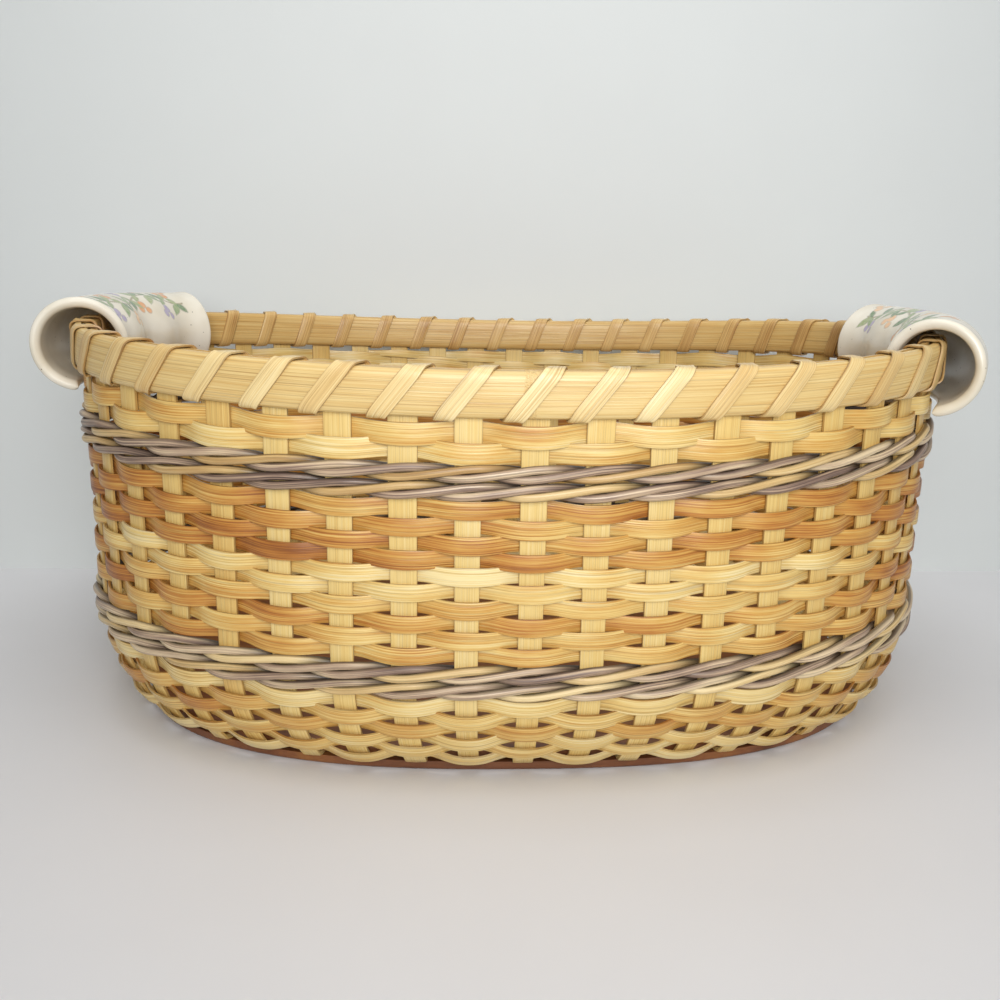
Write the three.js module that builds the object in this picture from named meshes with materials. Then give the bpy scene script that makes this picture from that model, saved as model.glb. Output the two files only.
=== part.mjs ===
// Splint bread basket: an oval board with a grooved edge, upright splints glued into the groove,
// flat weavers and two bands of three-rod wale worked round them, a two-piece rim bound with a
// lashing strip, and two glazed ceramic sleeves that ride on the rim at the ends as handles.
// Millimetres and degrees, +Z up, the front along -Y and the long way along X.
import * as THREE from "three";

// Clearances
const FIT_GAP = 0.35; // between splints that touch
const REST_GAP = 0.6; // between a handle and the lashing it rests on
const LIP_GAP = 0.6; // between a handle's lips and the wall

// Plan of the wall, at the middle of its thickness, level with the top of the rim
const WALL_HALF_LENGTH = 179;
const WALL_HALF_WIDTH = 126.5;
const WALL_EXPONENT = 2.28; // 2 is an ellipse, and more squares it off
const END_RISE = 7.1; // how much higher the rim stands at the two ends

// Plan of the wall at its foot, where the stakes bend up
const FOOT_HALF_LENGTH = 162;
const FOOT_HALF_WIDTH = 110;
const FOOT_EXPONENT = 2.55;

// Profile of the wall
const BEND_RADIUS = 60;
const LEVEL_RUN = 1.5; // from the edge of the board to where the stakes bend up
const START_ANGLE = 45; // above level, at the foot of the wall
const UPRIGHT_ANGLE = 90;

// Base board
const BOARD_THICKNESS = 9.5;
const BOARD_CHAMFER = 1;
const GROOVE_DEPTH = 10;

// Stakes
const STAKE_COUNT = 45;
const STAKE_WIDTH = 9.5;
const STAKE_FOOT_WIDTH = 7.5;
const STAKE_THICKNESS = 1.3;
const STAKE_BEND_STEPS = 6;
const FIRST_STAKE = 1.2; // along the rim from the middle of the front

// Flat weavers
const WEAVER_WIDTH = 5.4;
const WEAVER_THICKNESS = 1;
const LOWER_ROWS = 6;
const MIDDLE_ROWS = 10;
const UPPER_ROWS = 2;
const FOOT_SPACE = 2.8; // from the foot to the first row
const HEAD_SPACE = 2; // from the last row to the lashing
const SEAM_STAKE = 27; // where each weaver starts, at the back
const CLIMB_STAKES = 5; // a weaver climbs to its next row over these last stakes of a turn

// Three-rod wale
const REED_DIAMETER = 2.75;
const REED_SIDES = 3;
const WALE_STRANDS = 3;
const TURN_IN = 0.25; // how far past a stake a strand turns in, as a share of the pitch
const FRONT_LEAN = 0.79; // a strand's rise to each end of its stretch outside, in reed spaces
const BACK_LEAN = 0.2; // and to each end of its stretch inside

// Rim and lashing
const RIM_HEIGHT = 15.9;
const RIM_THICKNESS = 3.6;
const STAKE_CUT = 0.8; // the stakes end this far under the top of the rim
const LASH_WIDTH = 6.4;
const LASH_THICKNESS = 1;
const LASH_FOOT = -0.39; // where the lashing passes under the rim, from a stake, in pitches
const LASH_HEAD = 0.22; // where it comes up to the top of the rim
const LASH_CROSSING = 0.1; // how far it moves on over the top

// Ceramic handles
const HANDLE_LENGTH = 104;
const HANDLE_RADIUS = 18.5;
const HANDLE_WALL = 4.2;
const HANDLE_OUTSET = 2.5; // from the wall to the middle of the sleeve
const HANDLE_SHIFT = 20; // along the rim from the middle of the end
const HANDLE_ROCK = 6; // degrees that a handle can rock outwards
const HANDLE_STEPS = 12;
const HANDLE_OUTER_POINTS = 12;
const HANDLE_INNER_POINTS = 9;
const FINGER_GROOVES = 3;
const FINGER_DEPTH = 1.3;
const MOUTH_FLARE = 0.8;

// Derived sizes
const radians = THREE.MathUtils.degToRad;
const GROOVE_WIDTH = STAKE_THICKNESS + 2 * FIT_GAP;
const GROOVE_MIDDLE = BOARD_THICKNESS / 2;
const BEND_LENGTH = BEND_RADIUS * radians(UPRIGHT_ANGLE - START_ANGLE);
const ROW_PITCH = WEAVER_WIDTH + FIT_GAP;
const REED_SPACE = REED_DIAMETER + FIT_GAP;
const FRONT_RISE = FRONT_LEAN * REED_SPACE;
const BACK_RISE = BACK_LEAN * REED_SPACE;
const WALE_PITCH = REED_SPACE + FRONT_RISE + BACK_RISE;
const WALE_HEIGHT = WALE_PITCH + 2 * FRONT_RISE + REED_DIAMETER;
const RIM_INNER_FACE = STAKE_THICKNESS / 2 + FIT_GAP;
const RIM_OUTER_FACE = RIM_INNER_FACE + RIM_THICKNESS;
const LASH_FACE = RIM_OUTER_FACE + FIT_GAP;
const LASH_OUTER_FACE = LASH_FACE + LASH_THICKNESS;

// Places up the wall, measured along its profile from the foot
const LOWER_FIRST = FOOT_SPACE + WEAVER_WIDTH / 2;
const LOWER_TOP = LOWER_FIRST + (LOWER_ROWS - 1) * ROW_PITCH + WEAVER_WIDTH / 2;
const LOWER_WALE = LOWER_TOP + FIT_GAP + REED_DIAMETER / 2 + FRONT_RISE;
const MIDDLE_FIRST = LOWER_TOP + WALE_HEIGHT + 2 * FIT_GAP + WEAVER_WIDTH / 2;
const MIDDLE_TOP = MIDDLE_FIRST + (MIDDLE_ROWS - 1) * ROW_PITCH + WEAVER_WIDTH / 2;
const UPPER_WALE = MIDDLE_TOP + FIT_GAP + REED_DIAMETER / 2 + FRONT_RISE;
const UPPER_FIRST = MIDDLE_TOP + WALE_HEIGHT + 2 * FIT_GAP + WEAVER_WIDTH / 2;
const UPPER_TOP = UPPER_FIRST + (UPPER_ROWS - 1) * ROW_PITCH + WEAVER_WIDTH / 2;
const RIM_BOTTOM = UPPER_TOP + HEAD_SPACE + LASH_THICKNESS + FIT_GAP;
const RIM_TOP = RIM_BOTTOM + RIM_HEIGHT;

// Materials
function finish(color, roughness) {
  return new THREE.MeshStandardMaterial({ color, roughness, metalness: 0 });
}
const naturalReed = finish("#d9b876", 0.7);
const dyedReed = finish("#b98a52", 0.7);
const greyReed = finish("#8f8585", 0.75);
const rimReed = finish("#d2ac68", 0.65);
const lashReed = finish("#dcc083", 0.6);
const stainedWood = finish("#8a5a3c", 0.6);
const glaze = finish("#e6e1d6", 0.25);

// A plan outline, walked anticlockwise from the middle of the front
const PLAN_SAMPLES = 4000;
function planOutline(halfLength, halfWidth, exponent) {
  const walk = [{ x: 0, y: -halfWidth, length: 0 }];
  for (let i = 1; i <= PLAN_SAMPLES; i++) {
    const angle = (2 * Math.PI * i) / PLAN_SAMPLES - Math.PI / 2;
    const power = 2 / exponent;
    const x = halfLength * Math.sign(Math.cos(angle)) * Math.abs(Math.cos(angle)) ** power;
    const y = halfWidth * Math.sign(Math.sin(angle)) * Math.abs(Math.sin(angle)) ** power;
    const last = walk[i - 1];
    walk.push({ x, y, length: last.length + Math.hypot(x - last.x, y - last.y) });
  }
  return { halfLength, halfWidth, exponent, walk, perimeter: walk[PLAN_SAMPLES].length };
}
const wallOutline = planOutline(WALL_HALF_LENGTH, WALL_HALF_WIDTH, WALL_EXPONENT);
const footOutline = planOutline(FOOT_HALF_LENGTH, FOOT_HALF_WIDTH, FOOT_EXPONENT);
const PITCH = wallOutline.perimeter / STAKE_COUNT;

// A point of an outline and its outward direction, at a place counted in stakes
function pointOn(outline, stake) {
  const { halfLength, halfWidth, exponent, walk, perimeter } = outline;
  const turns = (stake + FIRST_STAKE / PITCH) / STAKE_COUNT;
  const target = (turns - Math.floor(turns)) * perimeter;
  let low = 0;
  let high = PLAN_SAMPLES;
  while (high - low > 1) {
    const middle = (low + high) >> 1;
    if (walk[middle].length <= target) low = middle;
    else high = middle;
  }
  const share = (target - walk[low].length) / (walk[high].length - walk[low].length);
  const x = THREE.MathUtils.lerp(walk[low].x, walk[high].x, share);
  const y = THREE.MathUtils.lerp(walk[low].y, walk[high].y, share);
  const slope = exponent - 1;
  const outX = (Math.sign(x) * Math.abs(x / halfLength) ** slope) / halfLength;
  const outY = (Math.sign(y) * Math.abs(y / halfWidth) ** slope) / halfWidth;
  const size = Math.hypot(outX, outY);
  return { x, y, outX: outX / size, outY: outY / size };
}

// The same on the wall, whose plan changes from the foot's to the rim's as it spreads
function planAt(stake, spread = 1) {
  const foot = pointOn(footOutline, stake);
  const head = pointOn(wallOutline, stake);
  const outX = THREE.MathUtils.lerp(foot.outX, head.outX, spread);
  const outY = THREE.MathUtils.lerp(foot.outY, head.outY, spread);
  const size = Math.hypot(outX, outY);
  return {
    x: THREE.MathUtils.lerp(foot.x, head.x, spread),
    y: THREE.MathUtils.lerp(foot.y, head.y, spread),
    outX: outX / size,
    outY: outY / size,
  };
}

// The bend of the wall: its angle above level, and how far out and up it has come from the foot
function bendAt(up) {
  const start = radians(START_ANGLE);
  const angle = start + Math.min(up, BEND_LENGTH) / BEND_RADIUS;
  const straight = Math.max(0, up - BEND_LENGTH);
  return {
    angle,
    out: BEND_RADIUS * (Math.sin(angle) - Math.sin(start)) + straight * Math.cos(angle),
    rise: BEND_RADIUS * (Math.cos(start) - Math.cos(angle)) + straight * Math.sin(angle),
  };
}
const { out: WALL_SPREAD, rise: RIM_RISE } = bendAt(RIM_TOP);

// The wall's profile: its share of the spread from foot to rim, how far it lies inside the foot,
// its height, and the way its outer face looks
function profileAt(up) {
  if (up < 0) return { spread: 0, inset: -up, rise: GROOVE_MIDDLE, faceOut: 0, faceUp: -1 };
  const { angle, out, rise } = bendAt(up);
  return {
    spread: out / WALL_SPREAD,
    inset: 0,
    rise: GROOVE_MIDDLE + rise,
    faceOut: Math.sin(angle),
    faceUp: -Math.cos(angle),
  };
}

// Height on the wall, which grows towards the two ends
function lifted(rise, x) {
  const lift = 1 + (END_RISE / RIM_RISE) * (x / WALL_HALF_LENGTH) ** 2;
  return GROOVE_MIDDLE + (rise - GROOVE_MIDDLE) * lift;
}

// A point by its place round the wall, up the wall, off the wall and sideways from that place
function onWall(stake, up, off = 0, sideways = 0) {
  const side = profileAt(up);
  const plan = planAt(stake, side.spread);
  const out = off * side.faceOut - side.inset;
  const shifted = plan.x - plan.outY * sideways;
  return new THREE.Vector3(
    shifted + plan.outX * out,
    plan.y + plan.outY * out + plan.outX * sideways,
    lifted(side.rise + off * side.faceUp, shifted),
  );
}

// The corner midway between two stakes of a ring that lies flat against every stake
function betweenStakes(stake, up, off) {
  const side = profileAt(up);
  const a = planAt(stake, side.spread);
  const b = planAt(stake + 1, side.spread);
  const out = off * side.faceOut - side.inset;
  const levelA = a.x * a.outX + a.y * a.outY + out;
  const levelB = b.x * b.outX + b.y * b.outY + out;
  const cross = a.outX * b.outY - a.outY * b.outX;
  return new THREE.Vector3(
    (levelA * b.outY - levelB * a.outY) / cross,
    (levelB * a.outX - levelA * b.outX) / cross,
    lifted(side.rise + off * side.faceUp, planAt(stake + 0.5, side.spread).x),
  );
}

// A closed skin over a row of sections, with flat ends unless the row closes on itself
function skin(sections, endFaces) {
  const size = sections[0].length;
  const points = sections.flat();
  const index = [];
  const links = endFaces ? sections.length - 1 : sections.length;
  for (let i = 0; i < links; i++) {
    const here = i * size;
    const next = ((i + 1) % sections.length) * size;
    for (let j = 0; j < size; j++) {
      const after = (j + 1) % size;
      index.push(here + j, next + j, next + after, here + j, next + after, here + after);
    }
  }
  const last = (sections.length - 1) * size;
  for (const [a, b, c] of endFaces ?? []) {
    index.push(a, b, c, last + a, last + c, last + b);
  }
  let volume = 0;
  for (let i = 0; i < index.length; i += 3) {
    const [a, b, c] = [points[index[i]], points[index[i + 1]], points[index[i + 2]]];
    volume += a.dot(b.clone().cross(c));
  }
  if (volume < 0) index.reverse();
  const geometry = new THREE.BufferGeometry().setFromPoints(points);
  geometry.setIndex(index);
  return geometry;
}

// End faces of a section that bulges outwards everywhere
function fan(size) {
  return Array.from({ length: size - 2 }, (_, i) => [0, i + 1, i + 2]);
}

const basket = new THREE.Group();
function addPiece(name, geometry, material) {
  const mesh = new THREE.Mesh(geometry, material);
  mesh.name = name;
  basket.add(mesh);
}

// Base board: its edge lies flat before each stake and has the groove all round
function boardGeometry() {
  const low = GROOVE_MIDDLE - GROOVE_WIDTH / 2;
  const high = GROOVE_MIDDLE + GROOVE_WIDTH / 2;
  const edge = [
    [BOARD_CHAMFER, 0],
    [0, BOARD_CHAMFER],
    [0, low],
    [GROOVE_DEPTH, low],
    [GROOVE_DEPTH, high],
    [0, high],
    [0, BOARD_THICKNESS - BOARD_CHAMFER],
    [BOARD_CHAMFER, BOARD_THICKNESS],
  ];
  const rings = edge.map(([inset, height]) =>
    Array.from({ length: STAKE_COUNT }, (_, stake) =>
      betweenStakes(stake, -LEVEL_RUN - inset, 0).setZ(height),
    ),
  );
  return skin(rings, fan(STAKE_COUNT));
}
addPiece("board", boardGeometry(), stainedWood);

// Stakes: splints that start in the groove, bend up and end between the rim bands
function stakeWidthAt(up) {
  const share = THREE.MathUtils.clamp(up / RIM_TOP, 0, 1);
  return THREE.MathUtils.lerp(STAKE_FOOT_WIDTH, STAKE_WIDTH, share);
}

function stakeGeometry(stake) {
  const places = [FIT_GAP - GROOVE_DEPTH - LEVEL_RUN];
  for (let i = 0; i <= STAKE_BEND_STEPS; i++) places.push((BEND_LENGTH * i) / STAKE_BEND_STEPS);
  places.push(RIM_TOP - STAKE_CUT);
  const half = STAKE_THICKNESS / 2;
  const sections = places.map((up) => {
    const side = stakeWidthAt(up) / 2;
    return [
      onWall(stake, up, half, -side),
      onWall(stake, up, half, side),
      onWall(stake, up, -half, side),
      onWall(stake, up, -half, -side),
    ];
  });
  return skin(sections, fan(4));
}
for (let stake = 0; stake < STAKE_COUNT; stake++) {
  const number = String(stake + 1).padStart(2, "0");
  addPiece(`stake_${number}`, stakeGeometry(stake), naturalReed);
}

// How far the wall bulges out past the line between two places, a step to each side
function bulge(stake, up, step) {
  const here = onWall(stake, up);
  const before = onWall(stake - step, up);
  const after = onWall(stake + step, up);
  const outward = onWall(stake, up, 1).sub(here).normalize();
  return here.clone().multiplyScalar(2).sub(before).sub(after).dot(outward) / 2;
}

// How far the weave swings to each side of a stake, so that it clears the edges of the stake
function weaveAt(stake, up) {
  const pitch = onWall(stake - 1, up).distanceTo(onWall(stake + 1, up)) / 2;
  const share = stakeWidthAt(up) / (2 * pitch);
  const reach = (STAKE_THICKNESS + WEAVER_THICKNESS) / 2 + FIT_GAP;
  return { middle: bulge(stake, up, 1) * share, swing: reach / (1 - 2 * share) };
}

// A flat weaver: one splint that goes round and round, over one stake and under the next.
// The stakes are odd in number, so each turn falls opposite the one below it. It climbs a row
// over the last stakes of each turn, and its two ends taper to fill the wedges that this leaves.
function weaverGeometry(rows, first, startsOutside) {
  const bottom = first - WEAVER_WIDTH / 2;
  const top = bottom + (rows - 1) * ROW_PITCH + WEAVER_WIDTH;
  const sections = [];
  for (let i = 1 - CLIMB_STAKES; i < rows * STAKE_COUNT; i++) {
    const turn = Math.floor(i / STAKE_COUNT);
    const left = (turn + 1) * STAKE_COUNT - i;
    const level = bottom + (turn + Math.max(0, 1 - left / CLIMB_STAKES)) * ROW_PITCH;
    const low = Math.max(level, bottom);
    const high = Math.min(level + WEAVER_WIDTH, top);
    const stake = SEAM_STAKE + i;
    const { middle, swing } = weaveAt(stake, (low + high) / 2);
    const outside = (i % 2 === 0) === startsOutside;
    const face = middle + (outside ? swing : -swing);
    const back = face - WEAVER_THICKNESS / 2;
    const front = face + WEAVER_THICKNESS / 2;
    sections.push([
      onWall(stake, low, front),
      onWall(stake, high, front),
      onWall(stake, high, back),
      onWall(stake, low, back),
    ]);
  }
  return skin(sections, fan(4));
}
addPiece("weaver_lower", weaverGeometry(LOWER_ROWS, LOWER_FIRST, false), naturalReed);
addPiece("weaver_middle", weaverGeometry(MIDDLE_ROWS, MIDDLE_FIRST, true), dyedReed);
addPiece("weaver_upper", weaverGeometry(UPPER_ROWS, UPPER_FIRST, false), naturalReed);

// A wale strand: round reed that passes outside two stakes and inside the third, rising as it
// goes. After one turn it steps up over three stakes and makes a second row above the first.
function waleGeometry(strand, low) {
  const groups = STAKE_COUNT / WALE_STRANDS;
  const early = FRONT_RISE * (1 - (4 * TURN_IN) / (1 + 2 * TURN_IN));
  const stations = [];
  for (let i = 0; i < 2 * groups - 2; i++) {
    const row = i < groups ? 0 : 1;
    const steps = i === groups - 1 ? 1 : 0;
    const start = strand + i * WALE_STRANDS + row;
    const end = start + 2 + steps;
    const endRow = row + steps;
    stations.push([start + 1 - TURN_IN, true, low + row * WALE_PITCH - FRONT_RISE]);
    if (steps) stations.push([start + 1 + TURN_IN, true, low + row * WALE_PITCH - early]);
    if (steps) stations.push([end - TURN_IN, true, low + endRow * WALE_PITCH + early]);
    stations.push([end + TURN_IN, true, low + endRow * WALE_PITCH + FRONT_RISE]);
    stations.push([end + 1 - TURN_IN, false, low + endRow * WALE_PITCH + BACK_RISE]);
    stations.push([end + 1 + TURN_IN, false, low + endRow * WALE_PITCH - BACK_RISE]);
  }
  const radius = REED_DIAMETER / 2;
  const reach = STAKE_THICKNESS / 2 + FIT_GAP + radius;
  const sections = stations.map(([place, outside, up]) => {
    const stake = SEAM_STAKE + place;
    const face = outside ? reach + bulge(stake, up, 0.5 + TURN_IN) : -reach;
    return Array.from({ length: REED_SIDES }, (_, side) => {
      const angle = (2 * Math.PI * side) / REED_SIDES;
      return onWall(stake, up + radius * Math.sin(angle), face + radius * Math.cos(angle));
    });
  });
  return skin(sections, fan(REED_SIDES));
}

["a", "b", "c"].forEach((letter, strand) => {
  const reed = letter === "c" ? naturalReed : greyReed;
  addPiece(`wale_lower_${letter}`, waleGeometry(strand, LOWER_WALE), reed);
  addPiece(`wale_upper_${letter}`, waleGeometry(strand, UPPER_WALE), reed);
});

// Rim bands: one outside and one inside the stakes, flat against every stake
function bandGeometry(nearFace, farFace) {
  const sections = Array.from({ length: STAKE_COUNT }, (_, stake) => [
    betweenStakes(stake, RIM_BOTTOM, nearFace),
    betweenStakes(stake, RIM_BOTTOM, farFace),
    betweenStakes(stake, RIM_TOP, farFace),
    betweenStakes(stake, RIM_TOP, nearFace),
  ]);
  return skin(sections);
}
addPiece("rim_outer", bandGeometry(RIM_INNER_FACE, RIM_OUTER_FACE), rimReed);
addPiece("rim_inner", bandGeometry(-RIM_INNER_FACE, -RIM_OUTER_FACE), rimReed);

// Lashing: one flat strip wound round both bands, once for each stake
function lashingGeometry() {
  const sections = [];
  const corner = (stake, shift, side, top) => {
    const sideways = shift * PITCH;
    const near = top ? RIM_TOP + FIT_GAP : RIM_BOTTOM - FIT_GAP;
    const far = top ? near + LASH_THICKNESS : near - LASH_THICKNESS;
    const half = LASH_WIDTH / 2;
    sections.push([
      onWall(stake, near, side * LASH_FACE, sideways - half),
      onWall(stake, near, side * LASH_FACE, sideways + half),
      onWall(stake, far, side * LASH_OUTER_FACE, sideways + half),
      onWall(stake, far, side * LASH_OUTER_FACE, sideways - half),
    ]);
  };
  for (let stake = 0; stake < STAKE_COUNT; stake++) {
    corner(stake, LASH_FOOT, -1, false);
    corner(stake, LASH_FOOT, 1, false);
    corner(stake, LASH_HEAD, 1, true);
    corner(stake, LASH_HEAD + LASH_CROSSING, -1, true);
  }
  return skin(sections);
}
addPiece("lashing", lashingGeometry(), lashReed);

// Ceramic handles: a slit sleeve bent along the end of the rim, with finger grooves inside
const SLEEVE_MIDDLE = HANDLE_RADIUS - HANDLE_WALL / 2;
const SLEEVE_BORE = HANDLE_RADIUS - HANDLE_WALL;
const CREST = FIT_GAP + LASH_THICKNESS;
const SLEEVE_DROP = Math.sqrt((SLEEVE_BORE - REST_GAP) ** 2 - (LASH_OUTER_FACE + HANDLE_OUTSET) ** 2);
const SLEEVE_HEIGHT = CREST - SLEEVE_DROP; // middle of the sleeve above the top of the rim
const END_WEAVE = weaveAt(STAKE_COUNT / 4, UPPER_TOP);
const WEAVE_FACE = END_WEAVE.middle + END_WEAVE.swing + WEAVER_THICKNESS / 2;
const LIP_TRAVEL = (SLEEVE_DROP + SLEEVE_MIDDLE) * Math.tan(radians(HANDLE_ROCK));
const OUTER_LIP = WEAVE_FACE + LIP_GAP + HANDLE_WALL / 2 - HANDLE_OUTSET;
const INNER_LIP = WEAVE_FACE + LIP_GAP + HANDLE_WALL / 2 + HANDLE_OUTSET + LIP_TRAVEL;
const OUTER_LIP_ANGLE = -Math.acos(OUTER_LIP / SLEEVE_MIDDLE);
const INNER_LIP_ANGLE = Math.PI + Math.acos(INNER_LIP / SLEEVE_MIDDLE);

function handleOutline(along) {
  const outline = [];
  const sweep = INNER_LIP_ANGLE - OUTER_LIP_ANGLE;
  const flare = along === 0 || along === 1 ? MOUTH_FLARE : 0;
  const wave = (1 - Math.cos(2 * Math.PI * FINGER_GROOVES * along)) / 2;
  const put = (radius, angle) => outline.push([radius * Math.cos(angle), radius * Math.sin(angle)]);
  for (let i = 0; i < HANDLE_OUTER_POINTS; i++) {
    const angle = OUTER_LIP_ANGLE + (sweep * i) / (HANDLE_OUTER_POINTS - 1);
    const gripped = Math.max(0, -Math.cos(angle)) * wave;
    put(HANDLE_RADIUS + flare - FINGER_DEPTH * gripped, angle);
  }
  const tip = HANDLE_WALL / 2 / SLEEVE_MIDDLE;
  put(SLEEVE_MIDDLE, INNER_LIP_ANGLE + tip);
  const step = sweep / (HANDLE_INNER_POINTS - 1);
  for (let i = HANDLE_INNER_POINTS - 1; i >= 0; i--) {
    put(SLEEVE_BORE / Math.cos(step / 2), OUTER_LIP_ANGLE + step * i);
  }
  put(SLEEVE_MIDDLE, OUTER_LIP_ANGLE - tip);
  return outline;
}

function handleGeometry(middle) {
  const sections = [];
  for (let i = 0; i <= HANDLE_STEPS; i++) {
    const along = i / HANDLE_STEPS;
    const stake = middle + ((along - 0.5) * HANDLE_LENGTH) / PITCH;
    const plan = planAt(stake);
    const rim = onWall(stake, RIM_TOP);
    sections.push(
      handleOutline(along).map(([out, rise]) =>
        new THREE.Vector3(plan.outX, plan.outY, 0)
          .multiplyScalar(HANDLE_OUTSET + out)
          .add(rim)
          .setZ(rim.z + SLEEVE_HEIGHT + rise),
      ),
    );
  }
  const flat = handleOutline(0).map(([out, rise]) => new THREE.Vector2(out, rise));
  return skin(sections, THREE.ShapeUtils.triangulateShape(flat, []));
}
const RIGHT_HANDLE = STAKE_COUNT / 4 - (FIRST_STAKE + HANDLE_SHIFT) / PITCH;
addPiece("handle_right", handleGeometry(RIGHT_HANDLE), glaze);
addPiece("handle_left", handleGeometry(RIGHT_HANDLE + STAKE_COUNT / 2), glaze);

export default basket;
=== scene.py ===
# %% [markdown]
# # A splint bread basket
# Rattan reed is split into flat splints and round rods. Flat stakes stand in a grooved oval board,
# weavers go round and round them, two bands of round rod are twined in, and a pair of bands
# lashed together closes the rim. Two glazed sleeves sit on the rim as handles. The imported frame
# fixes where each of these pieces is, and this lesson makes the fine surface of each in its place.

# %% Load the frame
import math

import bpy
import numpy as np
from mathutils import Matrix, Vector


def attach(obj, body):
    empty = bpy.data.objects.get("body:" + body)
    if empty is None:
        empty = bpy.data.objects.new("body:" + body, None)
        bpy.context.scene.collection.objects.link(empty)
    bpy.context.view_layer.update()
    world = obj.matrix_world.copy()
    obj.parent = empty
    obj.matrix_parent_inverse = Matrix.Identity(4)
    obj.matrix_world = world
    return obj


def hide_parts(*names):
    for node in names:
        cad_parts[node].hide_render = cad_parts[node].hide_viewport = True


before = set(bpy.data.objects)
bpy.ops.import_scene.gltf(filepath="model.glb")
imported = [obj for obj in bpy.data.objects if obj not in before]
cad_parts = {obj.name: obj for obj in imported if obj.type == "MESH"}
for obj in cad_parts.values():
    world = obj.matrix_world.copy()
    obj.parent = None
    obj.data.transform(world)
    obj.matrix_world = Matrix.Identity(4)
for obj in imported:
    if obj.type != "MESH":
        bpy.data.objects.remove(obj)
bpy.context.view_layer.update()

# %% [markdown]
# ## Colours and shader nodes
# Shader sockets take linear colour, and a picture gives sRGB, so one function turns hex values
# into linear ones. A second small function adds a shader node with its settings and links. With
# these two, every material below reads as a short list of what is laid over what.

# %% Colour and node helpers
def linear(hex_colour):
    """An sRGB hex colour as linear red, green, blue and alpha."""
    channels = [int(hex_colour[i:i + 2], 16) / 255 for i in (1, 3, 5)]
    return [c / 12.92 if c <= 0.04045 else ((c + 0.055) / 1.055) ** 2.4 for c in channels] + [1.0]


def add(tree, kind, inputs, stops=(), **settings):
    """Adds a node. An input is a value or the socket to link, and stops fill a colour ramp."""
    node = tree.nodes.new("ShaderNode" + kind)
    for name, value in settings.items():
        setattr(node, name, value)
    for name, value in inputs.items():
        if isinstance(value, bpy.types.NodeSocket):
            tree.links.new(value, node.inputs[name])
        else:
            node.inputs[name].default_value = value
    for place, (at, colour) in enumerate(stops):
        elements = node.color_ramp.elements
        element = elements[place] if place < len(elements) else elements.new(at)
        element.position = at
        element.color = linear(colour)
    return node


def new_material(name):
    """An empty node material, with its tree and its Principled shader."""
    material = bpy.data.materials.new(name)
    material.use_nodes = True
    return material, material.node_tree, material.node_tree.nodes["Principled BSDF"]


print("white is", linear("#ffffff"))

# %% [markdown]
# ## The shape of the wall
# Every splint follows one wall. Its plan is an oval at the rim and a squarer oval at the foot, its
# profile leaves the board at a slant and bends upright, and the two ends stand a little higher than
# the sides. If a point can be given as a place round the wall, a place up it and a distance off it,
# each piece of the weave becomes a short formula. Places round the wall are counted in stakes.

# %% Driving sizes of the wall, in millimetres and degrees
MM = 0.001
WALL_HALF_LENGTH = 179
WALL_HALF_WIDTH = 126.5
WALL_EXPONENT = 2.28
FOOT_HALF_LENGTH = 162
FOOT_HALF_WIDTH = 110
FOOT_EXPONENT = 2.55
END_RISE = 7.1
BEND_RADIUS = 60
LEVEL_RUN = 1.5
START_ANGLE = 45
UPRIGHT_ANGLE = 90
BOARD_THICKNESS = 9.5
STAKE_COUNT = 45
FIRST_STAKE = 1.2
STAKE_WIDTH = 9.5
STAKE_FOOT_WIDTH = 7.5
STAKE_THICKNESS = 1.3
WEAVER_WIDTH = 5.4
WEAVER_THICKNESS = 1.0
FIT_GAP = 0.35
FOOT_SPACE = 2.8
HEAD_SPACE = 2
ROWS = {"lower": 6, "middle": 10, "upper": 2}
REED_DIAMETER = 2.75
WALE_STRANDS = 3
FRONT_LEAN = 0.79
BACK_LEAN = 0.2
RIM_HEIGHT = 15.9
RIM_THICKNESS = 3.6
LASH_THICKNESS = 1.0

BEND_LENGTH = BEND_RADIUS * math.radians(UPRIGHT_ANGLE - START_ANGLE)
ROW_PITCH = WEAVER_WIDTH + FIT_GAP
REED_SPACE = REED_DIAMETER + FIT_GAP
FRONT_RISE = FRONT_LEAN * REED_SPACE
BACK_RISE = BACK_LEAN * REED_SPACE
WALE_PITCH = REED_SPACE + FRONT_RISE + BACK_RISE
WALE_HEIGHT = WALE_PITCH + 2 * FRONT_RISE + REED_DIAMETER
print("rows every", ROW_PITCH, "mm, a band of rod is", round(WALE_HEIGHT, 1), "mm high")

# %% [markdown]
# ## Places up the wall
# The rows are stacked from the foot: six rows of flat weaver, a band of rod, ten rows, a second band,
# two rows and the rim. A table of heights would do, but if each is worked out from the one below,
# a changed width moves everything that stands on it.

# %% Places up the wall, from its foot
row_start = {"lower": FOOT_SPACE}
wale_level = {}
for below, wale_name, above in (("lower", "lower", "middle"), ("middle", "upper", "upper")):
    weave_top = row_start[below] + (ROWS[below] - 1) * ROW_PITCH + WEAVER_WIDTH
    wale_level[wale_name] = weave_top + FIT_GAP + REED_DIAMETER / 2 + FRONT_RISE
    row_start[above] = weave_top + WALE_HEIGHT + 2 * FIT_GAP
weave_top = row_start["upper"] + (ROWS["upper"] - 1) * ROW_PITCH + WEAVER_WIDTH
RIM_BOTTOM = weave_top + HEAD_SPACE + LASH_THICKNESS + FIT_GAP
RIM_TOP = RIM_BOTTOM + RIM_HEIGHT
print("rim from", round(RIM_BOTTOM, 1), "to", round(RIM_TOP, 1), "mm up the wall")

# %% [markdown]
# ## The plan
# The plan is an oval with full corners, which a power of sine and cosine draws. Stakes stand at equal
# steps along it, and equal angles don't give equal steps. So the outline is walked once in small
# steps, and a place is read off by its share of the whole way.

# %% Plan
PLAN_SAMPLES = 4000


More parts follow.
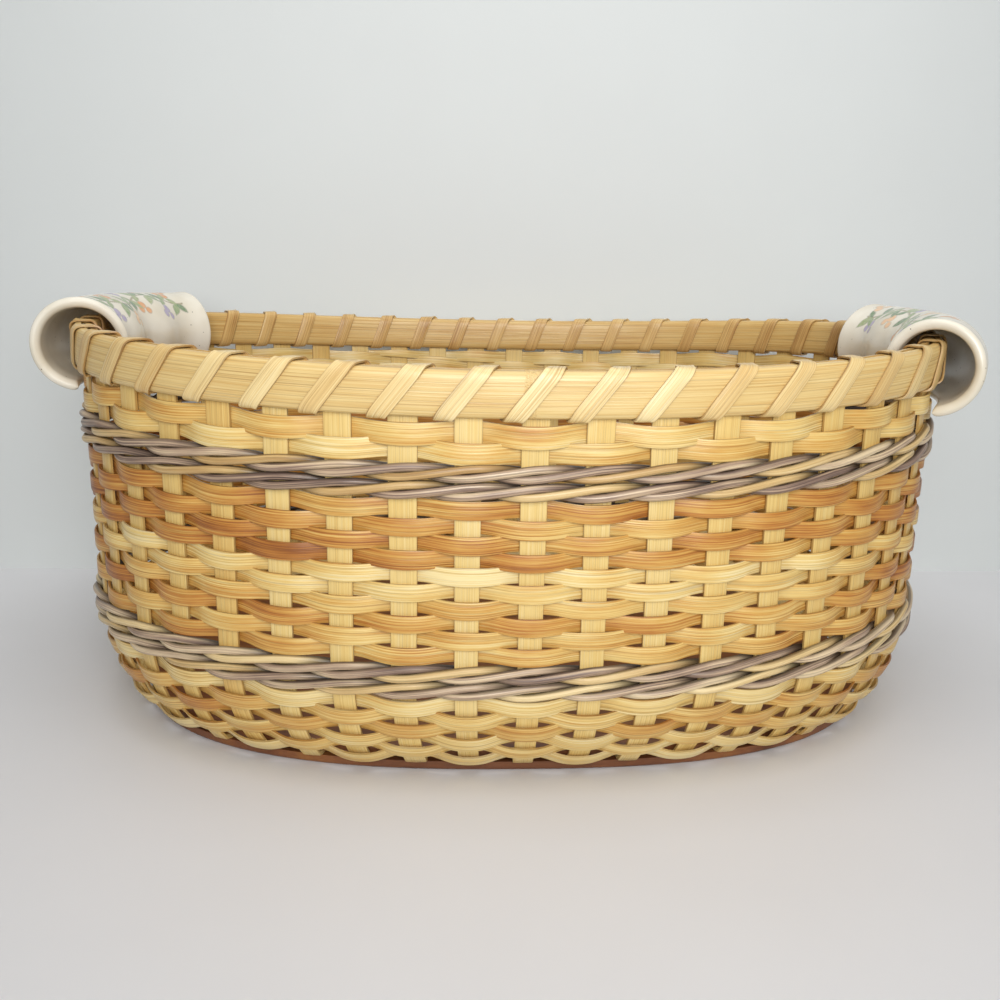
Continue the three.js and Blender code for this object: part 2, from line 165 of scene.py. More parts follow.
def plan_outline(half_length, half_width, exponent):
    """A plan outline walked from the middle of the front, with the way walked to each point."""
    angle = np.linspace(-np.pi / 2, 3 * np.pi / 2, PLAN_SAMPLES + 1)
    x = half_length * np.sign(np.cos(angle)) * np.abs(np.cos(angle)) ** (2 / exponent)
    y = half_width * np.sign(np.sin(angle)) * np.abs(np.sin(angle)) ** (2 / exponent)
    walked = np.concatenate([[0], np.cumsum(np.hypot(np.diff(x), np.diff(y)))])
    return half_length, half_width, exponent, x, y, walked


wall_outline = plan_outline(WALL_HALF_LENGTH, WALL_HALF_WIDTH, WALL_EXPONENT)
foot_outline = plan_outline(FOOT_HALF_LENGTH, FOOT_HALF_WIDTH, FOOT_EXPONENT)
PITCH = wall_outline[-1][-1] / STAKE_COUNT


def point_on(outline, stake):
    """A point of an outline and the way it faces, at a place counted in stakes."""
    half_length, half_width, exponent, walk_x, walk_y, walked = outline
    place = (stake + FIRST_STAKE / PITCH) / STAKE_COUNT % 1 * walked[-1]
    x = np.interp(place, walked, walk_x)
    y = np.interp(place, walked, walk_y)
    out_x = np.sign(x) * np.abs(x / half_length) ** (exponent - 1) / half_length
    out_y = np.sign(y) * np.abs(y / half_width) ** (exponent - 1) / half_width
    size = np.hypot(out_x, out_y)
    return np.stack([x, y, out_x / size, out_y / size])


def plan_at(stake, share=1.0):
    """The same on the wall, a share of the way from the foot's outline to the rim's."""
    foot = point_on(foot_outline, stake)
    head = point_on(wall_outline, stake)
    x, y, out_x, out_y = foot + (head - foot) * share
    size = np.hypot(out_x, out_y)
    return x, y, out_x / size, out_y / size


print("stakes stand", round(PITCH, 2), "mm apart at the rim")

# %% [markdown]
# ## The profile
# A stake leaves the board at a slant, follows an arc and then stands straight up. One function gives the
# lean, the way out and the height at any place up the wall, and the next one sets that on the plan.

# %% Profile, and points on the wall
def bend_at(up):
    """The wall's angle above level, and how far out and up it has come from its foot."""
    start = math.radians(START_ANGLE)
    angle = start + np.clip(up, 0, BEND_LENGTH) / BEND_RADIUS
    straight = np.maximum(up - BEND_LENGTH, 0)
    out = BEND_RADIUS * (np.sin(angle) - math.sin(start)) + straight * np.cos(angle)
    rise = BEND_RADIUS * (math.cos(start) - np.cos(angle)) + straight * np.sin(angle)
    return angle, out, rise


WALL_SPREAD, RIM_RISE = bend_at(RIM_TOP)[1:]


def on_wall(stake, up, off=0.0, sideways=0.0):
    """Points in millimetres by their place round the wall, up it, off it and sideways along it."""
    given = (np.asarray(v, float) for v in (stake, up, off, sideways))
    stake, up, off, sideways = np.broadcast_arrays(*given)
    angle, out, rise = bend_at(up)
    face_out = np.where(up < 0, 0, np.sin(angle))
    face_up = np.where(up < 0, -1, -np.cos(angle))
    x, y, out_x, out_y = plan_at(stake, out / WALL_SPREAD)
    reach = off * face_out + np.minimum(up, 0)
    shifted = x - out_y * sideways
    lift = 1 + END_RISE / RIM_RISE * (shifted / WALL_HALF_LENGTH) ** 2
    height = BOARD_THICKNESS / 2 + (rise + off * face_up) * lift
    return np.stack([shifted + out_x * reach, y + out_y * reach + out_x * sideways, height], -1)


def end_share(stake):
    """Zero at the middle of the long sides and one at the ends of the basket."""
    return (plan_at(stake)[0] / WALL_HALF_LENGTH) ** 2


print("rim stands", round(float(on_wall(0, RIM_TOP)[2]), 1), "mm high at the front")

# %% [markdown]
# ## Lofting
# All the pieces are long things with a small section: splints, rods, bands and sleeves. A curve with
# a bevel could sweep a section too, but it twists where it likes. Here the rings of points are worked
# out first, so that a splint keeps its broad face to the wall, and one function joins the rings with
# quads. It also keeps what the finish needs at each point: how far along and across the grain it is.

# %% Loft
SHARP_ANGLE = 50
FACT_KINDS = {
    (): ("FLOAT", "value"),
    (3,): ("FLOAT_VECTOR", "vector"),
    (4,): ("FLOAT_COLOR", "color"),
}


def loft(name, rings, facts, closed=False):
    """A closed mesh over rings of points in millimetres. Facts are values kept at every point."""
    count, size = rings.shape[:2]
    here = np.arange(count if closed else count - 1)[:, None] * size
    after = (here + size) % (count * size)
    j = np.arange(size)
    k = (j + 1) % size
    quads = np.stack([here + j, after + j, after + k, here + k], -1).reshape(-1, 4)
    points = rings.reshape(-1, 3)
    a, b, c, d = (points[quads[:, i]] - points.mean(0) for i in range(4))
    inside_out = np.sum(a * np.cross(b, c)) + np.sum(a * np.cross(c, d)) < 0
    faces = quads.tolist()
    if not closed:
        faces += [list(range(size))[::-1], list(range((count - 1) * size, count * size))]
    if inside_out:
        faces = [face[::-1] for face in faces]
    mesh = bpy.data.meshes.new(name)
    mesh.from_pydata((points * MM).tolist(), [], faces)
    for fact, values in facts.items():
        kind, field = FACT_KINDS[values.shape[2:]]
        layer = mesh.attributes.new(fact, kind, "POINT")
        layer.data.foreach_set(field, values.astype(np.float32).ravel())
    mesh.shade_smooth()
    mesh.set_sharp_from_angle(angle=math.radians(SHARP_ANGLE))
    piece = bpy.data.objects.new(name, mesh)
    bpy.context.scene.collection.objects.link(piece)
    return piece


def dress(piece, node, material, body="basket"):
    """Lets a piece ride on a body in place of a node of the frame, in a material."""
    piece.data.materials.append(material)
    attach(piece, body)
    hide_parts(node)


print("a point keeps:", [field for kind, field in FACT_KINDS.values()])

# %% [markdown]
# ## Splints
# A splint is a thin strip that follows a path on the wall. Its section is flat with soft edges, its
# broad face looks away from the wall, and its grain runs along it. A flat plane with a thickness would
# have hard edges, so a rounded section is lofted along the path. Each point also keeps a lit share: low
# values, at the edges and in hollows, darken the colour there as painted shade.

# %% Section and splint
# The edges of every splint get painted shade: past this share of the half width, the lit share falls to the
# next value.
EDGE_START = 0.9
PAINTED_EDGE_LIT_SHARE = 0.35


def unit(vectors):
    """Vectors at length one."""
    return vectors / np.linalg.norm(vectors, axis=-1, keepdims=True)


def section(width, thickness, points=10, roundness=0.5):
    """Sections of a splint, one for each width: flat faces that turn over into soft edges."""
    angle = (np.arange(points) + 0.5) * 2 * np.pi / points
    across = np.sign(np.cos(angle)) * np.abs(np.cos(angle)) ** roundness
    through = np.sign(np.sin(angle)) * np.abs(np.sin(angle)) ** roundness
    wide = width[:, None] * across / 2
    thick = np.reshape(thickness, (-1, 1)) * through / 2
    return np.stack(np.broadcast_arrays(wide, thick), -1)


def splint(name, path, outline, dye_and_shade, painted_lit_share, number, turn=(0, 1), closed=False):
    """A strip along a path of places round, up and off the wall.

    Number gives the strip a part of the noise of its own, and turn is the way its face looks.
    """
    stake, up, off = path
    centre = on_wall(stake, up, off)
    facing = on_wall(stake, up + turn[0], off + turn[1]) - centre
    if closed:
        along = unit(np.roll(centre, -1, 0) - np.roll(centre, 1, 0))
    else:
        along = unit(np.gradient(centre, axis=0))
    across = unit(np.cross(facing, along))
    normal = np.cross(along, across)
    rings = centre[:, None] + across[:, None] * outline[..., :1] + normal[:, None] * outline[..., 1:]
    walked = np.concatenate([[0], np.cumsum(np.linalg.norm(np.diff(centre, axis=0), axis=1))])
    shape = outline.shape[:2]
    grain = [np.broadcast_to(walked[:, None], shape), outline[..., 0], np.full(shape, float(number))]
    half_width = np.abs(outline[..., 0]).max(1, keepdims=True)
    # Painted shade at the edges: their points keep a lower lit share.
    edge = np.where(np.abs(outline[..., 0]) > EDGE_START * half_width, PAINTED_EDGE_LIT_SHARE, 1)
    facts = {
        "grain": np.stack(grain, -1),
        "dye_and_shade": np.broadcast_to(np.reshape(dye_and_shade, (-1, 1)), shape),
        "painted_lit_share": np.reshape(painted_lit_share, (-1, 1)) * edge,
    }
    return loft(name, rings, facts, closed)


print("a section has", section(np.ones(1), 1).shape[1], "points")

# %% [markdown]
# ## Hand work
# No row of a hand-made basket is quite even: width, place and shade waver. A few random draws, joined
# smoothly, do this without the jitter of one draw for each point. The draws start from one fixed
# number, so that the basket is the same each time. Stiff reed also rounds off corners, and a running
# mean does the same to a path of straight runs.

# %% Waver and smoothing
DRAWS_START = 45
rng = np.random.default_rng(DRAWS_START)


def wander(places, spacing, amount):
    """A smooth hand-made waver along a row of places, with a new draw every spacing."""
    knots = np.arange(places[0] - spacing, places[-1] + 2 * spacing, spacing)
    draws = rng.normal(0, amount, len(knots))
    share = (places - knots[0]) / spacing
    low = np.floor(share).astype(int)
    blend = (1 - np.cos(np.pi * (share - low))) / 2
    return draws[low] * (1 - blend) + draws[low + 1] * blend


def smooth(values, width):
    """A running mean, which rounds the corners of a row of values."""
    padded = np.pad(values, width, mode="edge")
    return np.convolve(padded, np.ones(2 * width + 1) / (2 * width + 1), mode="valid")


print("a corner rounded off:", smooth(np.array([0.0, 0.0, 3.0, 3.0]), 1))

# %% [markdown]
# ## Rattan reed
# Reed is the inner core of the rattan vine, cut into flat splints or drawn into round rods. Up close
# it is straw-coloured, with fibres running its whole length: pale streaks, a few dark pore lines, and
# a satin sheen on the crowns. An image of wood would repeat, so noise is stretched along the grain
# instead. The dye and shade value kept at each point slides the colour from natural straw to orange
# brown; at the ends of the basket and on inner faces part of that value is painted shade. A low lit
# share darkens the colour further, as painted shade at edges and in hollows.

# %% Patterns of the reed
# Lengths along and across the grain in millimetres. A real fibre is about a quarter of a millimetre
# wide, which is too fine to show, so fibres and pore lines are drawn nearly twice as wide.
FIBRE_SIZE = (45, 0.42)
BLOTCH_SIZE = (26, 8)
PORE_LENGTH = 120
NOISE_STEP = 7.31


def stretched(tree, grain, size, detail=3.0):
    """Noise drawn out along the grain, with features of this length and width in millimetres."""
    scale = (1 / size[0], 1 / size[1], NOISE_STEP)
    place = add(tree, "VectorMath", {0: grain, 1: scale}, operation="MULTIPLY").outputs[0]
    return add(tree, "TexNoise", {"Vector": place, "Scale": 1.0, "Detail": detail}).outputs[0]


def spread(tree, value, amount, base):
    """A base value moved up and down by a noise that runs from zero to one."""
    centred = add(tree, "Math", {0: value, 1: 0.5}, operation="SUBTRACT").outputs[0]
    return add(tree, "Math", {0: centred, 1: amount, 2: base}, operation="MULTIPLY_ADD").outputs[0]


print("fibres:", FIBRE_SIZE, "mm, blotches:", BLOTCH_SIZE, "mm")

# %% Reed material
# Dry, scraped reed is satin: roughness about 0.4, and lower along the hard fibres. Cellulose has an
# IOR near 1.5.
REED_ROUGHNESS = 0.36
ROUGHNESS_VARIETY = 0.3
REED_IOR = 1.5
FIBRE_HEIGHT = 0.25
FIBRE_BUMP = 0.5
PORE_EDGES = (0.55, 0.68)
# Painted shade: where the lit share is below this, the colour darkens toward the colour below, which also
# draws the pore lines and so serves both.
PAINTED_SHADE_BELOW = 0.6
REED_PORE_AND_SHADE_COLOUR = "#6e3f17"
REED_RAMP = [(0.0, "#eedaa2"), (0.25, "#e3c47a"), (0.5, "#d0a052"), (0.75, "#b67732"), (1.0, "#8a5022")]


def reed_material(name, ramp, fibre, blotch, pore, pore_width, pore_and_shade_colour=REED_PORE_AND_SHADE_COLOUR):
    """Rattan reed: fibres and blotches slide the dye along a ramp, with pore lines and painted shade over
    it.
    """
    material, tree, shader = new_material(name)
    grain = add(tree, "Attribute", {}, attribute_name="grain").outputs["Vector"]
    dye_and_shade = add(tree, "Attribute", {}, attribute_name="dye_and_shade").outputs["Fac"]
    painted_lit_share = add(tree, "Attribute", {}, attribute_name="painted_lit_share").outputs["Fac"]
    fibres = stretched(tree, grain, FIBRE_SIZE)
    tone = spread(tree, stretched(tree, grain, BLOTCH_SIZE), blotch, dye_and_shade)
    tone = spread(tree, fibres, fibre, tone)
    colour = add(tree, "ValToRGB", {"Fac": tone}, ramp).outputs[0]
    pores = stretched(tree, grain, (PORE_LENGTH, pore_width), 1.0)
    from_low, from_high = PORE_EDGES
    lines = add(tree, "MapRange", {0: pores, 1: from_low, 2: from_high, 3: 0.0, 4: pore}).outputs[0]
    colour = add(tree, "Mix", {0: lines, 6: colour, 7: linear(pore_and_shade_colour)}, data_type="RGBA").outputs[2]
    # Painted shade: a low lit share, at splint edges and where a rod passes inside, darkens the colour.
    painted_shade = add(tree, "MapRange", {0: painted_lit_share, 1: 0.0, 2: PAINTED_SHADE_BELOW, 3: 1.0, 4: 0.0}).outputs[0]
    colour = add(tree, "Mix", {0: painted_shade, 6: colour, 7: linear(pore_and_shade_colour)}, data_type="RGBA").outputs[2]
    tree.links.new(colour, shader.inputs["Base Color"])
    sheen = spread(tree, fibres, ROUGHNESS_VARIETY, REED_ROUGHNESS)
    tree.links.new(sheen, shader.inputs["Roughness"])
    shader.inputs["IOR"].default_value = REED_IOR
    relief = add(tree, "Math", {0: fibres, 1: lines}, operation="SUBTRACT").outputs[0]
    raised = add(tree, "Bump", {"Height": relief, "Strength": FIBRE_BUMP, "Distance": FIBRE_HEIGHT * MM})
    tree.links.new(raised.outputs[0], shader.inputs["Normal"])
    return material


# Undyed flat reed is even and pale, and only a few fine lines show on it.
natural_reed = reed_material(
    "rattan_reed_flat_natural", REED_RAMP, fibre=0.5, blotch=0.2, pore=0.22, pore_width=0.4)
# Dye takes unevenly along a splint, so woven reed is streaked and blotched from straw to brown.
woven_reed = reed_material(
    "rattan_reed_flat_dyed", REED_RAMP, fibre=1.2, blotch=0.7, pore=0.3, pore_width=0.5)
print("reed:", natural_reed.name, woven_reed.name)

# %% [markdown]
# ## The base board
# The basket stands on an oval board. A groove round its edge holds the feet of the stakes, and a
# small round on both edges catches the light. The board is built from rings of points that follow
# the foot of the wall, so that its edge meets every stake. It is a light wood under a brown stain:
# stain sinks deeper into the soft early wood, so the growth rings show as darker lines along it.

# %% Stained wood material
# Sanded basswood under a wiped stain: a dull satin brown with darker lines. Lengths along the grain,
# across it and through the board in millimetres. Real pores are much finer than these, which are
# drawn so that they show.
RING_SIZE = (833, 7, 50)
WOOD_PORE_SIZE = (25, 0.556, 0.556)
WOOD_PORE_SHADE = 0.35
WOOD_ROUGHNESS = 0.45
WOOD_RELIEF = 0.2
WOOD_BUMP = 0.2
STAIN_RAMP = [(0.25, "#93602f"), (0.5, "#7b4a2a"), (0.75, "#5a341e")]
stained_wood, tree, shader = new_material("basswood_stained_brown")
place = add(tree, "TexCoord", {}).outputs["Object"]
ring_scale = [1 / (v * MM) for v in RING_SIZE]
ring_place = add(tree, "VectorMath", {0: place, 1: ring_scale}, operation="MULTIPLY").outputs[0]
growth = add(tree, "TexNoise", {"Vector": ring_place, "Scale": 1.0, "Detail": 4.0}).outputs[0]
pore_scale = [1 / (v * MM) for v in WOOD_PORE_SIZE]
pore_place = add(tree, "VectorMath", {0: place, 1: pore_scale}, operation="MULTIPLY").outputs[0]
wood_pores = add(tree, "TexNoise", {"Vector": pore_place, "Scale": 1.0}).outputs[0]
stain = spread(tree, wood_pores, WOOD_PORE_SHADE, growth)
colour = add(tree, "ValToRGB", {"Fac": stain}, STAIN_RAMP).outputs[0]
tree.links.new(colour, shader.inputs["Base Color"])
shader.inputs["Roughness"].default_value = WOOD_ROUGHNESS
raised = add(tree, "Bump", {"Height": wood_pores, "Strength": WOOD_BUMP, "Distance": WOOD_RELIEF * MM})
tree.links.new(raised.outputs[0], shader.inputs["Normal"])
print("wood:", stained_wood.name)

# %% Base board
BOARD_ROUND = 1.6
GROOVE_DEPTH = 10
GROOVE_HALF = 1.0
FLAT_INSET = 13
BOARD_STEP = 0.25
quarter = np.radians([0, 30, 60, 90])
low_edge = [(BOARD_ROUND * (1 - math.sin(t)), BOARD_ROUND * (1 - math.cos(t))) for t in quarter]
groove_height = BOARD_THICKNESS / 2 - GROOVE_HALF
half_edge = [(FLAT_INSET, 0)] + low_edge + [(0, groove_height), (GROOVE_DEPTH, groove_height)]
edge = half_edge + [(inset, BOARD_THICKNESS - height) for inset, height in half_edge[::-1]]
around = np.arange(0, STAKE_COUNT, BOARD_STEP)
rings = np.stack([on_wall(around, -LEVEL_RUN - inset) for inset, height in edge])
rings[..., 2] = np.array([height for inset, height in edge])[:, None]
board = loft("base_board", rings, {})
dress(board, "board", stained_wood)
print("board:", [round(v / MM, 1) for v in board.dimensions])

# %% [markdown]
# ## The stakes
# Each stake is a flat splint glued into the groove. It bends up out of the board, widens a little
# with the wall, and ends between the two rim bands. A loop makes them one by one, because each real
# splint has its own width and its own shade, and each stays a piece of its own.

# %% Stakes
FOOT_IN_GROOVE = 9.65
STAKE_CUT = 0.8
STAKE_FULLNESS = 1.05
STAKE_VARIETY = 0.02
STAKE_DYE = 0.2
STAKE_DYE_VARIETY = 0.04
# Stakes at the ends of the basket are darker, partly deeper dye and partly painted shade.
STAKE_END_DYE_AND_SHADE = 0.15
STAKE_GRAIN_STEP = 3.7
BENT_RINGS = 14
UPRIGHT_RINGS = 16
RING_SPACING = 6
level_part = [-LEVEL_RUN - FOOT_IN_GROOVE, -LEVEL_RUN]
bent_part = np.linspace(0, BEND_LENGTH, BENT_RINGS)
upright_part = np.linspace(BEND_LENGTH + RING_SPACING, RIM_TOP - STAKE_CUT, UPRIGHT_RINGS)
stake_up = np.concatenate([level_part, bent_part, upright_part])
share = np.clip(stake_up / RIM_TOP, 0, 1)
for stake in range(STAKE_COUNT):
    width = STAKE_FOOT_WIDTH + (STAKE_WIDTH - STAKE_FOOT_WIDTH) * share
    width = width * rng.normal(STAKE_FULLNESS, STAKE_VARIETY)
    lean = wander(stake_up, spacing=40, amount=0.25) * share / PITCH
    outline = section(width, STAKE_THICKNESS, roundness=0.4)
    shade = STAKE_DYE + rng.normal(0, STAKE_DYE_VARIETY) + end_share(stake) * STAKE_END_DYE_AND_SHADE
    path = (stake + lean, stake_up, 0)
    grain_number = stake * STAKE_GRAIN_STEP
    piece = splint(f"stake_splint_{stake + 1:02d}", path, outline, shade, 1, grain_number)
    dress(piece, f"stake_{stake + 1:02d}", natural_reed)
print("stakes:", STAKE_COUNT, "splints", STAKE_WIDTH, "mm wide")

# %% [markdown]
# ## The weavers
# A weaver goes over one stake and under the next. The stakes are odd in number, so one long splint
# can spiral up and each turn falls opposite the one below. A cosine of the place round the wall gives
# the in and out, made fuller so that the splint hugs each stake. Packing the rows down makes a splint
# hang low in front of a stake and ride high behind the next, and lets it lap over its neighbours
# there. Dyed and natural stretches of splint give the rows their colours.

# %% Weavers
SWING = 1.75
FULLNESS = 1.15
ROW_DIP = 0.55
ROW_LAP = {"lower": 1.2, "middle": 0.85, "upper": 1.9}
CROWN_LAP = 0.4
ROW_LIFT = {"lower": 0, "middle": 0, "upper": 0.3}
SEAM_STAKE = 27
CLIMB_STAKES = 5
WEAVE_STEPS = 12
# The ends of the basket come out darker, partly deeper dye and partly painted shade.
END_DYE_AND_SHADE = 0.5
DYES = {
    "lower": [0.18, 0.2, 0.25, 0.42, 0.36, 0.2],
    "middle": [0.42, 0.38, 0.54, 0.42, 0.23, 0.25, 0.52, 0.62, 0.5, 0.55],
    "upper": [0.28, 0.29],
}


def weave(band, starts_outside, number):
    """One continuous weaver of several rows."""
    rows = ROWS[band]
    lowest = row_start[band]
    highest = lowest + (rows - 1) * ROW_PITCH + WEAVER_WIDTH
    step = np.arange(1 - CLIMB_STAKES, rows * STAKE_COUNT - 1 + 0.01, 1 / WEAVE_STEPS)
    turn = np.floor(step / STAKE_COUNT)
    left = (turn + 1) * STAKE_COUNT - step
    row = turn + np.maximum(0, 1 - left / CLIMB_STAKES)
    low = np.maximum(lowest + row * ROW_PITCH, lowest)
    high = np.minimum(lowest + row * ROW_PITCH + WEAVER_WIDTH, highest)
    side = np.cos(np.pi * step) * (1 if starts_outside else -1)
    hug = np.sin(FULLNESS * side) / math.sin(FULLNESS)
    off = SWING * hug * (1 + wander(step, spacing=1, amount=0.06))
    middle = (low + high) / 2 + ROW_LIFT[band] - ROW_DIP * side
    up = middle + wander(step, spacing=1, amount=0.25)
    width = high - low + ROW_LAP[band] + CROWN_LAP * side ** 2
    width = width * (1 + wander(step, spacing=2.3, amount=0.02))
    dye_and_shade = np.interp(row, np.arange(rows), DYES[band]) + wander(step, spacing=2.7, amount=0.07)
    # Darker at the ends of the basket: partly dye, partly painted shade.
    dye_and_shade = dye_and_shade * (1 + END_DYE_AND_SHADE * end_share(SEAM_STAKE + step))
    path = (SEAM_STAKE + step, up, off)
    outline = section(width, WEAVER_THICKNESS, roundness=0.36)
    piece = splint(f"weaver_splint_{band}", path, outline, dye_and_shade, 1, number)
    dress(piece, f"weaver_{band}", woven_reed)
    print("weaver:", band, rows, "rows,", len(step), "sections")


weave("lower", starts_outside=False, number=101)
weave("middle", starts_outside=True, number=131)
weave("upper", starts_outside=False, number=171)

# %% [markdown]
# ## Round rod
# The two darker bands are round reed, two rods of three dyed grey. It is the same vine, drawn through
# a round die, so the reed material serves again with its own colours. The dye takes unevenly, so the
# grey fades to tan in places. Between round rods the crevices get a deep, near-black painted shade.

# %% Grey and natural rod
GREY_RAMP = [(0.0, "#e0caa4"), (0.35, "#b49a80"), (0.6, "#846d5f"), (1.0, "#45342d")]
# One near-black colour draws the rod's pore lines and the painted shade in its crevices.
ROD_PORE_AND_SHADE_COLOUR = "#1f130e"
# Grey dye on rod is patchy, from dark grey to a worn tan.
grey_rod = reed_material(
    "rattan_rod_dyed_grey", GREY_RAMP, fibre=1.6, blotch=0.8, pore=0.3, pore_width=0.8, pore_and_shade_colour=ROD_PORE_AND_SHADE_COLOUR)
TAN_RAMP = [(0.0, "#ead4a2"), (0.35, "#d3b47c"), (0.65, "#b38e5a"), (1.0, "#6f4c2a")]
# Undyed rod is a dull tan, a little darker than flat reed.
natural_rod = reed_material(
    "rattan_rod_natural", TAN_RAMP, fibre=1.0, blotch=0.5, pore=0.3, pore_width=0.8, pore_and_shade_colour=ROD_PORE_AND_SHADE_COLOUR)
print("rods:", grey_rod.name, natural_rod.name)

# %% [markdown]
# ## The wale
# Three rods are twined together: each passes outside two stakes and inside the third, always over the
# other two, which makes a slanting rope. After one turn each rod steps up and makes a second row. The
# path is laid out as straight runs from stake to stake and then smoothed with a running mean, as stiff
# rod bends. Pressed together, the rods fill their row.

# %% Wale strands
TURN_IN = 0.25
WALE_STEPS = 12
ROD_POINTS = 12
OFF_SMOOTHING = 2
UP_SMOOTHING = 4
ROD_CLEARANCE = 0.1
ROD_SPREAD = 0.3
ROD_PROUD = 0.9
ROD_SHADE = 0.62
ROD_DYES = {"lower": 0.22, "upper": 0.4}
ROD_GRAIN = 200
ROD_GRAIN_STEP = 17


def wale(band, letter, strand):
    """One strand of a wale band: two rows of a round rod."""
    level = wale_level[band]
    reach = STAKE_THICKNESS / 2 + ROD_CLEARANCE + REED_DIAMETER / 2
    groups = STAKE_COUNT // WALE_STRANDS
    knots = []
    for i in range(2 * groups - 1):
        row = 0 if i < groups else 1
        steps = 1 if i == groups - 1 else 0
        start = strand + i * WALE_STRANDS + row
        end = start + 2 + steps
        first = level + row * WALE_PITCH
        last = first + steps * WALE_PITCH
        knots.append((start + 1 - TURN_IN, reach, first - FRONT_RISE))
        knots.append((start + 1 + TURN_IN, reach + ROD_PROUD, first - FRONT_RISE / 3))
        knots.append((end + TURN_IN, reach - ROD_CLEARANCE, last + FRONT_RISE))
        knots.append((end + 1 - TURN_IN, -reach, last + BACK_RISE))
        knots.append((end + 1 + TURN_IN, -reach, last - BACK_RISE))
    place, off, up = np.array(knots).T
    step = np.arange(place[0], place[-1], 1 / WALE_STEPS)
    off = smooth(np.interp(step, place, off), OFF_SMOOTHING) + wander(step, spacing=1.5, amount=0.06)
    up = smooth(np.interp(step, place, up), UP_SMOOTHING) + wander(step, spacing=1.5, amount=0.12)
    diameter = (REED_DIAMETER + ROD_SPREAD) * (1 + wander(step, spacing=6, amount=0.03))
    outline = section(diameter, diameter, ROD_POINTS, roundness=1.0)
    dye_and_shade = ROD_DYES[band] + wander(step, spacing=4, amount=0.12)
    # Painted shade: the lit share falls where the rod passes inside the stakes.
    painted_lit_share = ROD_SHADE * np.clip(0.5 + off / reach / 2, 0, 1)
    path = (SEAM_STAKE + step, up, off)
    number = ROD_GRAIN + ROD_GRAIN_STEP * strand + level
    piece = splint(f"wale_rod_{band}_{letter}", path, outline, dye_and_shade, painted_lit_share, number)
    dress(piece, f"wale_{band}_{letter}", natural_rod if letter == "c" else grey_rod)


for band in wale_level:
    for strand, letter in enumerate("abc"):
        wale(band, letter, strand)
print("wale:", 2 * WALE_STRANDS, "rods", REED_DIAMETER, "mm thick")

# %% [markdown]
# ## The rim bands
# Two half-oval bands clamp the tops of the stakes, one outside and one inside. Their flat faces lie
# on the stakes and their round faces look away. They are thick reed, with long straight fibres and
# many fine pore lines. A half section drawn by formula goes once round the wall.

# %% Rim material and bands
RIM_RAMP = [(0.0, "#ebd6a4"), (0.3, "#dec284"), (0.6, "#cba25e"), (1.0, "#a67036")]
RIM_GAP = 0.25
RIM_ROUND = 0.5
# The inner band is darker than the outer, and the extra darkness is painted shade. The end term, partly dye
# and partly painted shade, is here slightly negative, so the ends come out a touch lighter.
RIM_DYE_AND_SHADE = {"outer": 0.38, "inner": 0.52}
RIM_END_DYE_AND_SHADE = -0.02
RIM_GRAINS = {"outer": 309.0, "inner": 291.0}
RIM_STEP = 0.2
RIM_POINTS = 15
FADE_STAKES = 3
# Thick half-oval reed shows many close straight lines and hardly a blotch.
rim_reed = reed_material(
    "rattan_half_oval_rim", RIM_RAMP, fibre=0.8, blotch=0.25, pore=0.3, pore_width=0.45)
half_turn = np.radians(np.linspace(-90, 90, RIM_POINTS))
bulge = np.cos(half_turn) ** RIM_ROUND * RIM_THICKNESS
rise = np.sign(np.sin(half_turn)) * np.abs(np.sin(half_turn)) ** RIM_ROUND * RIM_HEIGHT / 2
around = np.arange(0, STAKE_COUNT, RIM_STEP)
seam_fade = np.minimum(1, np.minimum(around, STAKE_COUNT - around) / FADE_STAKES)
for side, name in ((1, "outer"), (-1, "inner")):
    off = side * (STAKE_THICKNESS / 2 + RIM_GAP + bulge)
    waver = wander(around, spacing=4, amount=0.12) * seam_fade
    up = (RIM_BOTTOM + RIM_TOP) / 2 + rise + waver[:, None]
    rings = on_wall(around[:, None], up, off)
    shape = rings.shape[:2]
    along = np.broadcast_to(around[:, None] * PITCH, shape)
    across = np.broadcast_to(rise, shape)
    grain = np.stack([along, across, np.full(shape, RIM_GRAINS[name])], -1)
    dye_and_shade = np.broadcast_to(RIM_DYE_AND_SHADE[name] + RIM_END_DYE_AND_SHADE * end_share(around)[:, None], shape)
    facts = {"grain": grain, "dye_and_shade": dye_and_shade, "painted_lit_share": np.ones(shape)}
    rim_band = loft(f"rim_band_{name}", rings, facts, True)
    dress(rim_band, f"rim_{name}", rim_reed)
    print("rim:", name, [round(v / MM) for v in rim_band.dimensions])

# %% [markdown]
# ## The lashing
# One thin strip winds round both bands, once for each stake. It climbs the outer face on a straight
# slant, goes over the top and down the inner face, and passes under the bands beside the next stake.
# The path is a squared loop round the rim's section. The place along the rim moves on with the
# height on each face, which keeps the slant straight.

# %% Loop of the lashing
LASH_RAMP = [(0.0, "#f3e2b4"), (0.35, "#e6cc92"), (0.7, "#cfa868"), (1.0, "#a0703a")]
LASH_WIDTH = 6.3
LASH_FOOT = -0.39
LASH_HEAD = 0.22
LASH_CROSSING = 0.1
LASH_STEPS = 48
LASH_SQUARE = 0.45
LASH_STAND_OFF = 0.1
LASH_STAND_OVER = 0.15
